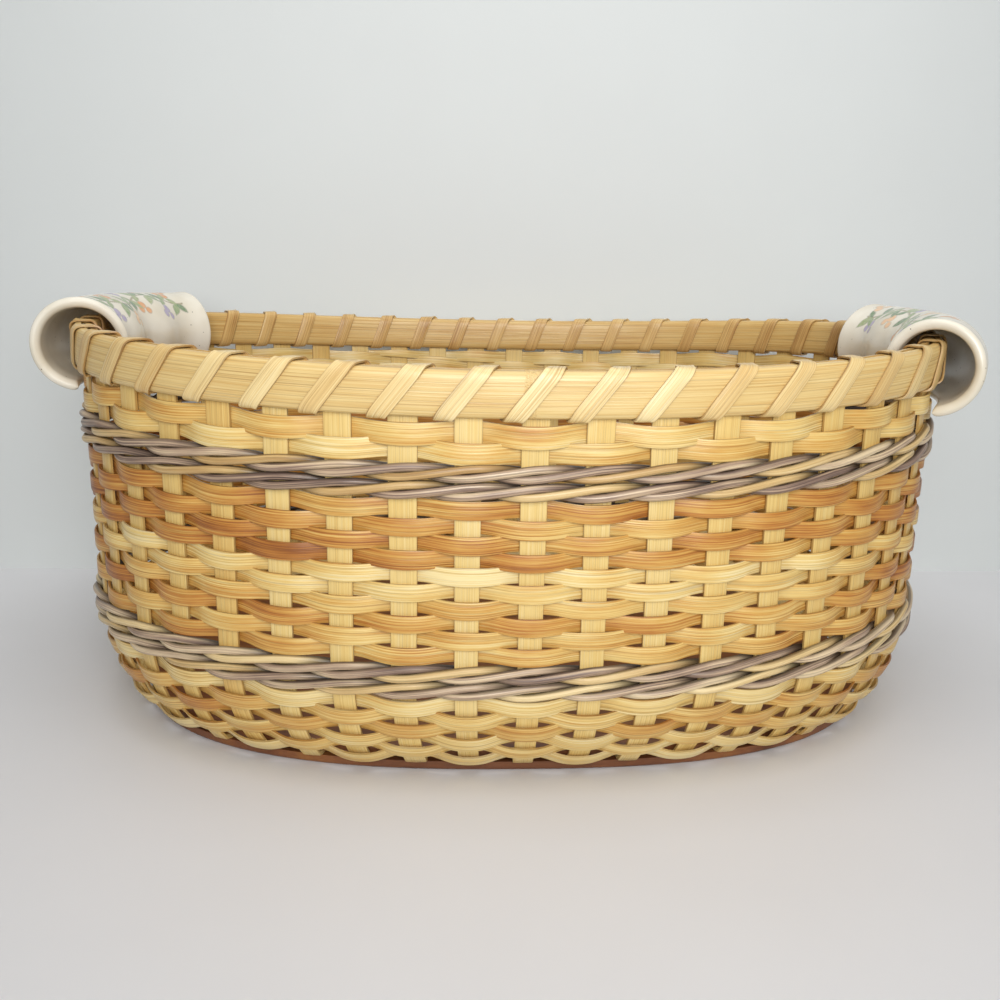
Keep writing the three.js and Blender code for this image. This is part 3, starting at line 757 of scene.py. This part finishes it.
# A lashing strip is thin reed, wetted to bend: pale, with fine lines, and its edges get painted shade.
lash_reed = reed_material(
    "rattan_lashing_strip", LASH_RAMP, fibre=1.0, blotch=0.3, pore=0.3, pore_width=0.4)
turn = np.arange(LASH_STEPS) * 2 * np.pi / LASH_STEPS - np.pi / 2
outward = np.sign(np.cos(turn)) * np.abs(np.cos(turn)) ** LASH_SQUARE
upward = np.sign(np.sin(turn)) * np.abs(np.sin(turn)) ** LASH_SQUARE
reach = STAKE_THICKNESS / 2 + RIM_GAP + RIM_THICKNESS + LASH_THICKNESS / 2 + LASH_STAND_OFF
height = RIM_HEIGHT / 2 + LASH_THICKNESS / 2 + LASH_STAND_OVER
climb = (upward + 1) / 2
crossing = np.where(upward > 0, 1 - np.abs(outward), 0) * LASH_CROSSING / 2
outer_shift = LASH_FOOT + (LASH_HEAD - LASH_FOOT) * climb + crossing
inner_shift = 1 + LASH_FOOT + (LASH_HEAD + LASH_CROSSING - 1 - LASH_FOOT) * climb - crossing
shift = np.where(turn < np.pi / 2, outer_shift, inner_shift)
print("one loop of lashing:", round(2 * reach, 1), "by", round(2 * height, 1), "mm")

# %% [markdown]
# ## One strip, wound all the way round
# The same loop is repeated at every stake and joined to the next, so the lashing stays one strip. Its
# broad face has to look away from the bands all the way round a loop, and the slope of the squared
# loop gives that way. Hands pull each turn a little differently, so each crosses at its own slant.

# %% Lashing
# Painted shade: the inner face of each loop is darker. The ends of the basket are darker too, partly deeper
# dye and partly painted shade.
LASH_DYE = 0.42
LASH_END_DYE_AND_SHADE = 0.12
LASH_INNER_SHADE = 0.28
LASH_UNEVENNESS = 0.02
LASH_GRAIN = 400
look_out = np.sign(outward) * np.abs(np.cos(turn)) ** (2 - LASH_SQUARE) / reach
look_up = np.sign(upward) * np.abs(np.sin(turn)) ** (2 - LASH_SQUARE) / height
look_size = np.hypot(look_out, look_up)
look = (np.tile(look_up / look_size, STAKE_COUNT), np.tile(look_out / look_size, STAKE_COUNT))
unevenness = rng.normal(0, LASH_UNEVENNESS, STAKE_COUNT)[:, None] * np.cos(turn / 2) ** 2
stake = (np.arange(STAKE_COUNT)[:, None] + shift + unevenness).ravel()
up = np.tile((RIM_BOTTOM + RIM_TOP) / 2 + height * upward, STAKE_COUNT)
off = np.tile(reach * outward, STAKE_COUNT)
outline = section(np.full(len(stake), LASH_WIDTH), LASH_THICKNESS)
# Painted shade on the inner faces, and at the ends partly dye, partly painted shade.
dye_and_shade = LASH_DYE + LASH_END_DYE_AND_SHADE * end_share(stake) + LASH_INNER_SHADE * np.clip(-off / reach, 0, 1)
dye_and_shade = dye_and_shade + wander(np.arange(len(stake)) / LASH_STEPS, spacing=1, amount=0.06)
path = (stake, up, off)
lashing = splint("lashing_strip", path, outline, dye_and_shade, 1, LASH_GRAIN, turn=look, closed=True)
dress(lashing, "lashing", lash_reed)
print("lashing:", STAKE_COUNT, "turns")

# %% [markdown]
# ## The ceramic handles
# Each handle is a slit clay sleeve, bent to the end of the rim, with finger grooves pressed in along
# its inner side and mouths that flare a little. The glaze has rounded every edge. Rings of points go
# along the rim: each is an open ring of clay, and close to a mouth the clay thins out as a half
# circle does, which makes the round lip.

# %% Sleeve sizes
HANDLE_LENGTH = 104
HANDLE_SHIFT = 20
HANDLE_OUTSET = 2.5
SLEEVE_RADIUS = 16.4
CLAY_HALF = 2.1
SLEEVE_DROP = 9.43
OUTER_LIP = math.radians(-77)
INNER_LIP = math.radians(225)
MOUTH_FLARE = 1.0
FLARE_LENGTH = 10
FINGER_GROOVES = 3
FINGER_DEPTH = 2.5
INNER_POINTS = 60
TIP_POINTS = 9
LIP_RINGS = 6
THIN_EDGE = 0.02
PAINT_STEP = 0.55
NO_PAINT = 99


def sleeve_section():
    """Angles round the sleeve, and how far through the clay each point is, from 1 to -1."""
    step = PAINT_STEP / (SLEEVE_RADIUS + CLAY_HALF)
    outer = np.arange(OUTER_LIP, INNER_LIP, step)
    inner = np.linspace(INNER_LIP, OUTER_LIP, INNER_POINTS)
    tip = np.radians(np.linspace(90, -90, TIP_POINTS)[1:-1])
    overhang = np.cos(tip) * CLAY_HALF / SLEEVE_RADIUS
    angle = np.concatenate([outer, INNER_LIP + overhang, inner, OUTER_LIP - overhang])
    through = np.concatenate([np.ones(len(outer)), np.sin(tip), -np.ones(len(inner)), -np.sin(tip)])
    return angle, through


def sleeve_rings(middle):
    """Rings of a sleeve, with the place of each point along and around it in millimetres."""
    half_length = HANDLE_LENGTH / 2
    lip = CLAY_HALF * (1 - np.cos(np.linspace(0, np.pi / 2, LIP_RINGS)))
    body = np.arange(-half_length + CLAY_HALF + PAINT_STEP, half_length - CLAY_HALF, PAINT_STEP)
    along = np.concatenate([-half_length + lip, body, half_length - lip[::-1]])
    edge = np.maximum(half_length - np.abs(along), THIN_EDGE)
    half = CLAY_HALF * np.sqrt(1 - (1 - np.minimum(edge / CLAY_HALF, 1)) ** 2)
    flare = MOUTH_FLARE * np.maximum(0, 1 - edge / FLARE_LENGTH) ** 2
    wave = (1 - np.cos(2 * np.pi * FINGER_GROOVES * (along / HANDLE_LENGTH + 0.5))) / 2
    angle, through = sleeve_section()
    grip = FINGER_DEPTH * np.maximum(0, -np.cos(angle)) * (through > 0)
    radius = SLEEVE_RADIUS + flare[:, None] + half[:, None] * through - wave[:, None] * grip
    stake = middle + along / PITCH
    out_x, out_y = plan_at(stake)[2:]
    out = HANDLE_OUTSET + radius * np.cos(angle)
    sideways = np.stack([out_x[:, None] * out, out_y[:, None] * out], -1)
    raised = radius * np.sin(angle) - SLEEVE_DROP
    rings = on_wall(stake, RIM_TOP)[:, None] + np.concatenate([sideways, raised[..., None]], -1)
    around = np.where(through > 0, (np.pi / 2 - angle) * (SLEEVE_RADIUS + CLAY_HALF), NO_PAINT)
    return rings, *np.broadcast_arrays(along[:, None], around)


print("a ring of a sleeve has", len(sleeve_section()[0]), "points")

# %% [markdown]
# ## Painted sprigs
# The sleeves carry a small painted decoration. Here it is a plain running sprig: a waving stem with
# pairs of leaves and round berries, in soft greens, apricot and lavender. The points of the sleeve
# lie about half a millimetre apart, so the strokes can be kept as a colour at each point, with soft
# edges like brushed underglaze.

# %% Sprig painter
# Each knot of the stem has leaves, by their lean, length, width and shade, and berries, by their place
# and radius.
LEAVES = ((0.9, 9.5, 4.4, 0), (2.2, 7.5, 3.6, 1), (-0.7, 7, 3.2, 2))
BERRIES = ((3.6, -6.6, 2.3), (6.6, -9.2, 2.0), (1.6, -10.4, 1.8))
LEAF_COLOURS = ("#8aa070", "#66855f", "#9aa878")
BERRY_COLOURS = ("#dd9a63", "#a79cc0", "#ecbf92")
STEM_COLOUR = "#93895f"
SPRIG_MIDDLE = -9
SPRIG_HALF = 40
KNOTS = 9
KNOT_STEP = 9
STEM_HALF = 0.45
STEM_WAVE = 3.4
WAVE_STEP = 8
LEAF_BELLY = 0.8
LEAF_CUT = 9
SOFT_EDGE = 0.6


def stroke(paint, cover, colour):
    """Lays a colour over the paint where cover is above zero."""
    cover = np.clip(cover / SOFT_EDGE + 0.5, 0, 1)[..., None]
    paint[...] = paint * (1 - cover) + np.array(linear(colour)) * cover


def leaf(u, v, length, width):
    """How far inside an almond each point lies, with the stalk at zero."""
    share = np.clip(u / length, 0, 1)
    past_end = np.maximum(0, np.abs(u / length - 0.5) - 0.5)
    return width / 2 * np.sin(np.pi * share ** LEAF_BELLY) - np.abs(v) - LEAF_CUT * past_end


def stem_swing(at, flip):
    """How far the waving stem has swung aside at a place along the sleeve."""
    return STEM_WAVE * np.sin(at / WAVE_STEP * flip)


def sprigs(along, around, flip):
    """The painted decoration of one sleeve, as a colour and a cover at each point."""
    paint = np.zeros((*along.shape, 4))
    across = around - SPRIG_MIDDLE
    past_stem = np.maximum(0, np.abs(along) - SPRIG_HALF)
    stroke(paint, STEM_HALF - np.abs(across - stem_swing(along, flip)) - past_stem, STEM_COLOUR)
    for i in range(KNOTS):
        at = (i - KNOTS // 2) * KNOT_STEP
        turn = 1 if i % 2 else -1
        x = along - at
        y = across - stem_swing(at, flip)
        for lean, length, width, shade in LEAVES:
            c = math.cos(lean)
            s = turn * math.sin(lean)
            colour = LEAF_COLOURS[(i + shade) % 3]
            stroke(paint, leaf(x * c + y * s, y * c - x * s, length, width), colour)
        for dx, dy, radius in BERRIES:
            berry = radius - np.hypot(x - dx, y - turn * dy)
            stroke(paint, berry, BERRY_COLOURS[i % 3])
    return paint


print("sprig:", len(LEAVES), "leaves and", len(BERRIES), "berries at each knot")

# %% [markdown]
# ## Glaze
# The clay is pale stoneware under a warm white glaze: glossy, a little uneven, with small iron
# specks that burn through. A Principled shader with a low roughness gives the glass, a gentle noise
# gives the uneven depth of the glaze, and spots picked from a cell pattern give the specks.

# %% Glaze material
# Fired glaze is glass: an IOR near 1.5 and a roughness of 0.2, for a soft gloss. It lies unevenly, in
# pools of about 17 mm, with specks of about half a millimetre. Sizes are in millimetres.
POOL_SIZE = 16.67
POOL_RAMP = [(0.3, "#eee8d9"), (0.7, "#ddd4c0")]
SPECK_SPACING = 2.6
SPECK_EDGES = (0.05, 0.13)
SPECK_RARITY = 0.78
SPECK_COLOUR = "#5a4634"
GLAZE_ROUGHNESS = 0.2
GLAZE_IOR = 1.5
GLAZE_RELIEF = 0.4
GLAZE_BUMP = 0.15
glaze, tree, shader = new_material("stoneware_white_glaze")
place = add(tree, "TexCoord", {}).outputs["Object"]
pool = add(tree, "TexNoise", {"Vector": place, "Scale": 1 / (POOL_SIZE * MM), "Detail": 2.0}).outputs[0]
colour = add(tree, "ValToRGB", {"Fac": pool}, POOL_RAMP).outputs[0]
cells = add(tree, "TexVoronoi", {"Vector": place, "Scale": 1 / (SPECK_SPACING * MM)})
speck_range = {0: cells.outputs["Distance"], 1: SPECK_EDGES[0], 2: SPECK_EDGES[1], 3: 1.0, 4: 0.0}
near = add(tree, "MapRange", speck_range).outputs[0]
draw = add(tree, "SeparateColor", {0: cells.outputs["Color"]}).outputs[0]
chosen = add(tree, "Math", {0: draw, 1: SPECK_RARITY}, operation="GREATER_THAN").outputs[0]
speck = add(tree, "Math", {0: near, 1: chosen}, operation="MULTIPLY").outputs[0]
colour = add(tree, "Mix", {0: speck, 6: colour, 7: linear(SPECK_COLOUR)}, data_type="RGBA").outputs[2]
print("specks in", round(100 * (1 - SPECK_RARITY)), "cells of a hundred,", SPECK_SPACING, "mm apart")

# %% Paint under the glaze
# Brushed colour covers unevenly. The marks of a fine brush would be too fine to show, so their grain,
# in millimetres, is drawn coarser.
BRUSH_GRAIN = 1.43
BRUSH_VARIETY = 0.6
BRUSH_COVER = 0.85
paint = add(tree, "Attribute", {}, attribute_name="paint")
brush_scale = 1 / (BRUSH_GRAIN * MM)
brushed = add(tree, "TexNoise", {"Vector": place, "Scale": brush_scale, "Detail": 1.0}).outputs[0]
thin = spread(tree, brushed, BRUSH_VARIETY, BRUSH_COVER)
cover = add(tree, "Math", {0: paint.outputs["Alpha"], 1: thin}, operation="MULTIPLY", use_clamp=True)
painted = {0: cover.outputs[0], 6: colour, 7: paint.outputs["Color"]}
colour = add(tree, "Mix", painted, data_type="RGBA").outputs[2]
tree.links.new(colour, shader.inputs["Base Color"])
shader.inputs["Roughness"].default_value = GLAZE_ROUGHNESS
shader.inputs["IOR"].default_value = GLAZE_IOR
raised = add(tree, "Bump", {"Height": pool, "Strength": GLAZE_BUMP, "Distance": GLAZE_RELIEF * MM})
tree.links.new(raised.outputs[0], shader.inputs["Normal"])
print("glaze:", glaze.name)

# %% [markdown]
# ## Two sleeves
# The left sleeve is the right one, half way round the rim, with its sprig waving the other way. Each
# rides on a body of its own, because it rocks on the rim when it is lifted.

# %% Sleeves
right_middle = STAKE_COUNT / 4 - (FIRST_STAKE + HANDLE_SHIFT) / PITCH
for side, middle, flip in (("right", right_middle, 1), ("left", right_middle + STAKE_COUNT / 2, -1)):
    rings, along, around = sleeve_rings(middle)
    sleeve = loft(f"ceramic_sleeve_{side}", rings, {"paint": sprigs(along, around, flip)})
    dress(sleeve, f"handle_{side}", glaze, f"handle_{side}")
    print("sleeve:", side, [round(v / MM) for v in sleeve.dimensions])

# %% [markdown]
# ## Table, wall and light
# The basket stands on a pale table close to a pale wall. The wall lets the eye through from behind,
# so that the back of the basket can be looked at too. One broad soft lamp in front gives the sheen on
# the crowns of the weave, one above lights the rim and the table, and an even world fills the shadows.

# %% Stage
# Both sheets are plain: matt paint on the wall, and laminate with a dull sheen on the table. A faint
# mottle in patches of about 70 mm keeps them from looking flat.
WALL_BEHIND = 141
FAR = 3000
MOTTLE_SIZE = 71.4
MOTTLE_AMOUNT = 0.05
MOTTLE_EDGES = (0.3, 0.7)
MOTTLE_COLOUR = "#b9b6b4"


def plain(name, colour, roughness):
    """A plain surface with a faint mottle."""
    material, tree, shader = new_material(name)
    place = add(tree, "TexCoord", {}).outputs["Object"]
    scale = 1 / (MOTTLE_SIZE * MM)
    mottle = add(tree, "TexNoise", {"Vector": place, "Scale": scale, "Detail": 3.0}).outputs[0]
    low, high = MOTTLE_EDGES
    shade = add(tree, "MapRange", {0: mottle, 1: low, 2: high, 3: 0.0, 4: MOTTLE_AMOUNT}).outputs[0]
    mixed = add(tree, "Mix", {0: shade, 6: linear(colour), 7: linear(MOTTLE_COLOUR)}, data_type="RGBA")
    tree.links.new(mixed.outputs[2], shader.inputs["Base Color"])
    shader.inputs["Roughness"].default_value = roughness
    return material, tree, shader


def flat_sheet(name, corners, material):
    """One flat quad of the stage."""
    mesh = bpy.data.meshes.new(name)
    mesh.from_pydata([tuple(v * MM for v in c) for c in corners], [], [(0, 1, 2, 3)])
    mesh.materials.append(material)
    quad = bpy.data.objects.new(name, mesh)
    bpy.context.scene.collection.objects.link(quad)


table_corners = [(-FAR, -FAR, 0), (FAR, -FAR, 0), (FAR, FAR, 0), (-FAR, FAR, 0)]
flat_sheet("table_top", table_corners, plain("laminate_pale", "#e2e2e4", roughness=0.55)[0])
wall_paint, tree, shader = plain("wall_paint_pale", "#dbdfde", roughness=0.8)
from_behind = add(tree, "NewGeometry", {}).outputs["Backfacing"]
clear = add(tree, "BsdfTransparent", {}).outputs[0]
seen = add(tree, "MixShader", {0: from_behind, 1: shader.outputs[0], 2: clear}).outputs[0]
tree.links.new(seen, tree.nodes["Material Output"].inputs["Surface"])
wall_corners = [(x, WALL_BEHIND, z) for x, z in ((-FAR, 0), (FAR, 0), (FAR, FAR), (-FAR, FAR))]
flat_sheet("wall_behind", wall_corners, wall_paint)
print("stage: a table, and a wall", WALL_BEHIND, "mm behind the middle")

# %% [markdown]
# ## Lamps and world
# A square area lamp gives the soft edge of a studio light. A narrower beam, aimed past the basket at the
# wall, makes the wall brightest in the middle. The powers are low, so that pale reed keeps its colour.

# %% Lamps and world
WORLD_STRENGTH = 0.29


def lamp(name, place, aim, size, power, beam=180):
    """A square soft lamp at a place in millimetres, aimed at a point, with a beam in degrees."""
    data = bpy.data.lights.new(name, "AREA")
    data.size = size * MM
    data.energy = power
    data.spread = math.radians(beam)
    light = bpy.data.objects.new(name, data)
    bpy.context.scene.collection.objects.link(light)
    light.location = [v * MM for v in place]
    way = Vector(aim) - Vector(place)
    light.rotation_euler = way.to_track_quat("-Z", "Y").to_euler()


lamp("key_front", (20, -720, 390), (20, WALL_BEHIND, 220), size=420, power=1.42, beam=90)
lamp("top_soft", (40, -260, 1150), (0, 0, 0), size=700, power=4.0)
world = bpy.data.worlds.new("studio_grey")
bpy.context.scene.world = world
world.use_nodes = True
background = world.node_tree.nodes["Background"]
background.inputs["Color"].default_value = linear("#f4f4f4")
background.inputs["Strength"].default_value = WORLD_STRENGTH
bpy.context.scene.view_settings.view_transform = "Standard"

# %% [markdown]
# ## Camera
# The picture was taken from close by, a little to the left of the middle and slightly above the rim,
# with a lens about as wide as the sensor. The camera is turned by a yaw, a pitch and a small roll.

# %% Camera
CAMERA_PLACE = (-27.4, -451.4, 189.6)
CAMERA_YAW = 0.053
CAMERA_PITCH = 0.24
CAMERA_ROLL = 0.019
SENSOR_WIDTH = 36
LENS_LENGTH = 36
NEAREST = 10
camera_data = bpy.data.cameras.new("photo_camera")
camera_data.sensor_width = SENSOR_WIDTH
camera_data.lens = LENS_LENGTH
camera_data.clip_start = NEAREST * MM
camera = bpy.data.objects.new("photo_camera", camera_data)
bpy.context.scene.collection.objects.link(camera)
turned = Matrix.Rotation(-CAMERA_YAW, 4, "Z") @ Matrix.Rotation(math.pi / 2 - CAMERA_PITCH, 4, "X")
rolled = turned @ Matrix.Rotation(CAMERA_ROLL, 4, "Z")
camera.matrix_world = Matrix.Translation([v * MM for v in CAMERA_PLACE]) @ rolled
bpy.context.scene.camera = camera
print("camera:", CAMERA_PLACE, "mm, lens", LENS_LENGTH, "mm")
